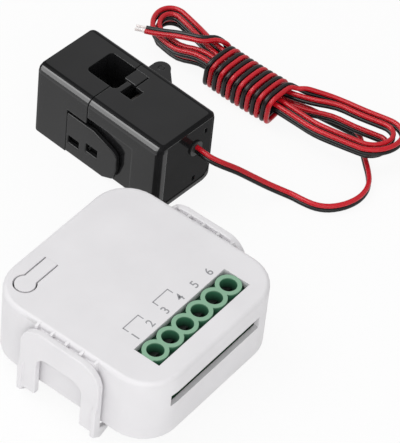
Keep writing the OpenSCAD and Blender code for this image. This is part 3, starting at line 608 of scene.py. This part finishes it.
def dress_nodes(materials):
    """Finishes every rigid node and returns the clamp's glossy pieces."""
    glossy = []
    for node, obj in frame["nodes"].items():
        mat = materials[look_of(node)]
        if node in EDGES:
            piece = refined(node, mat, EDGES[node])
            if SLOT_OF[node] == "clamp_black":
                glossy.append(piece)
            if node in ("ct_body", "ct_jaw"):
                rub_edges(piece, materials["clamp_painted_highlight"], materials["clamp_painted_shade"])
        else:
            obj.data.materials.clear()
            obj.data.materials.append(mat)
    return glossy


# Plain numbers beside the terminals, and lines that join two pairs of them
ROW_X = 0.25
ROW_Y = -14.85
PITCH = 5
POLES = 6
JOINED_FROM = (1, 3)
TOP_Z = 17.6
PRINT_T = 0.02
NUMBER_SIZE = 3
NUMBER_Y = ROW_Y + 4.4
NUMBER_BOLD = 0.02
LINE_W = 0.24
LINE_Y = NUMBER_Y + 2.9
LINE_RISE = 1.5


def pole_x(i):
    return ROW_X + (i - (POLES + 1) / 2) * PITCH


def number_mesh(i):
    data = bpy.data.curves.new("number", "FONT")
    data.body = str(i)
    data.size = NUMBER_SIZE * MM
    data.align_x = "CENTER"
    data.extrude = PRINT_T * MM
    data.offset = NUMBER_BOLD * MM
    text = bpy.data.objects.new("number", data)
    bpy.context.collection.objects.link(text)
    depsgraph = bpy.context.evaluated_depsgraph_get()
    mesh = bpy.data.meshes.new_from_object(text.evaluated_get(depsgraph))
    bpy.data.objects.remove(text)
    mesh.transform(Matrix.Translation(mm(pole_x(i), NUMBER_Y, TOP_Z)))
    return mesh


def add_bar(bm, x0, y0, x1, y1):
    middle = mm((x0 + x1) / 2, (y0 + y1) / 2, TOP_Z)
    size = Matrix.Diagonal((*mm(x1 - x0, y1 - y0, 2 * PRINT_T), 1))
    bmesh.ops.create_cube(bm, size=1, matrix=Matrix.Translation(middle) @ size)


def add_numbers(mat):
    bm = bmesh.new()
    for i in range(1, POLES + 1):
        bm.from_mesh(number_mesh(i))
    half = LINE_W / 2
    for i in JOINED_FROM:
        left, right = pole_x(i), pole_x(i + 1)
        top = LINE_Y + LINE_RISE
        for x in (left, right):
            add_bar(bm, x - half, LINE_Y, x + half, top)
        add_bar(bm, left - half, top - half, right + half, top + half)
    bmesh.ops.remove_doubles(bm, verts=bm.verts, dist=SAME_PLACE)
    bmesh.ops.dissolve_degenerate(bm, edges=bm.edges, dist=SAME_PLACE)
    mesh = bpy.data.meshes.new("terminal_numbers")
    bm.to_mesh(mesh)
    bm.free()
    mesh.materials.append(mat)
    piece = bpy.data.objects.new("terminal_numbers", mesh)
    bpy.context.collection.objects.link(piece)
    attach(piece, "monitor")


# Stage and light
FLOOR_HALF = 3000
FLOOR_DROP = 0.02
FLOOR_GLOW = 0.91
FLOOR_DARK = (0.86, 0.86, 0.86)
FLOOR_LIGHT = (0.88, 0.88, 0.88)
FLOOR_CLOUD_SCALE = 3
FLOOR_ROUGH = 0.8
ROOM_LIGHT = 0.45
LIGHT_TARGET = mm(30, 15, 5)
KEY = {"at_mm": (-150, 350, 650), "size_mm": 600, "watts": 2.3}
FILL = {"at_mm": (-450, -350, 300), "size_mm": 900, "watts": 2.5}
SHEEN = {"at_mm": (-330, 350, 360), "size_mm": 800, "watts": 6.5}


def seen_rays(nodes, links):
    """1 where the eye sees a surface, straight or in a mirror or through glass, and 0 elsewhere."""
    rays = nodes.new("ShaderNodeLightPath")
    seen = rays.outputs["Is Camera Ray"]
    for kind in ("Is Glossy Ray", "Is Transmission Ray"):
        either = nodes.new("ShaderNodeMath")
        either.operation = "MAXIMUM"
        links.new(seen, either.inputs[0])
        links.new(rays.outputs[kind], either.inputs[1])
        seen = either.outputs[0]
    return seen


def add_floor():
    mesh = bpy.data.meshes.new("floor")
    sides = [(-1, -1), (1, -1), (1, 1), (-1, 1)]
    corners = [mm(x * FLOOR_HALF, y * FLOOR_HALF, FLOOR_Z - FLOOR_DROP) for x, y in sides]
    mesh.from_pydata(corners, [], [(0, 1, 2, 3)])
    mat, nodes, links, bsdf = material("floor")
    cloud = noise(nodes, links, FLOOR_CLOUD_SCALE, detail=2)
    links.new(tint(nodes, links, cloud, FLOOR_DARK, FLOOR_LIGHT), bsdf.inputs["Base Color"])
    bsdf.inputs["Roughness"].default_value = FLOOR_ROUGH
    glow = nodes.new("ShaderNodeEmission")
    glow.inputs["Strength"].default_value = 1
    share = nodes.new("ShaderNodeMath")
    share.operation = "MULTIPLY"
    share.inputs[1].default_value = FLOOR_GLOW
    links.new(seen_rays(nodes, links), share.inputs[0])
    mix = nodes.new("ShaderNodeMixShader")
    links.new(share.outputs[0], mix.inputs["Fac"])
    links.new(bsdf.outputs["BSDF"], mix.inputs[1])
    links.new(glow.outputs["Emission"], mix.inputs[2])
    links.new(mix.outputs["Shader"], nodes["Material Output"].inputs["Surface"])
    mesh.materials.append(mat)
    floor = bpy.data.objects.new("floor", mesh)
    bpy.context.collection.objects.link(floor)


def add_lamp(name, at_mm, size_mm, watts):
    data = bpy.data.lights.new(name, "AREA")
    data.shape = "DISK"
    data.size = size_mm * MM
    data.energy = watts
    lamp = bpy.data.objects.new(name, data)
    bpy.context.collection.objects.link(lamp)
    lamp.location = mm(*at_mm)
    lamp.rotation_euler = (lamp.location - LIGHT_TARGET).to_track_quat("Z", "Y").to_euler()
    return lamp


def add_light(glossy_pieces):
    """Soft light from the room and two lamps, and one more that only shines on the glossy pieces."""
    world = bpy.data.worlds.new("world")
    bpy.context.scene.world = world
    world.use_nodes = True
    nodes = world.node_tree.nodes
    links = world.node_tree.links
    room = nodes["Background"]
    room.inputs["Color"].default_value = (1, 1, 1, 1)
    room.inputs["Strength"].default_value = ROOM_LIGHT
    backdrop = nodes.new("ShaderNodeBackground")
    backdrop.inputs["Color"].default_value = (1, 1, 1, 1)
    backdrop.inputs["Strength"].default_value = 1
    mix = nodes.new("ShaderNodeMixShader")
    links.new(seen_rays(nodes, links), mix.inputs["Fac"])
    links.new(room.outputs["Background"], mix.inputs[1])
    links.new(backdrop.outputs["Background"], mix.inputs[2])
    links.new(mix.outputs["Shader"], nodes["World Output"].inputs["Surface"])
    add_lamp("key", **KEY)
    add_lamp("fill", **FILL)
    sheen = add_lamp("sheen", **SHEEN)
    sheen.visible_diffuse = False
    lit = bpy.data.collections.new("glossy_pieces")
    for piece in glossy_pieces:
        lit.objects.link(piece)
    sheen.light_linking.receiver_collection = lit


bpy.context.scene.view_settings.view_transform = "Standard"
add_camera()
# The cords come first, then the rigid pieces
materials = make_materials()
ends = add_bare_ends(materials["bare_strands"])
red = add_wire("cord_red", -1, materials["wire_red"], ["cord_lead_red", "hank_red"])
black = add_wire("cord_black", 1, materials["wire_black"], ["cord_lead_black", "hank_black"])
glossy_pieces = dress_nodes(materials)
add_numbers(materials["print_grey"])
add_floor()
add_light([red, black, *glossy_pieces])
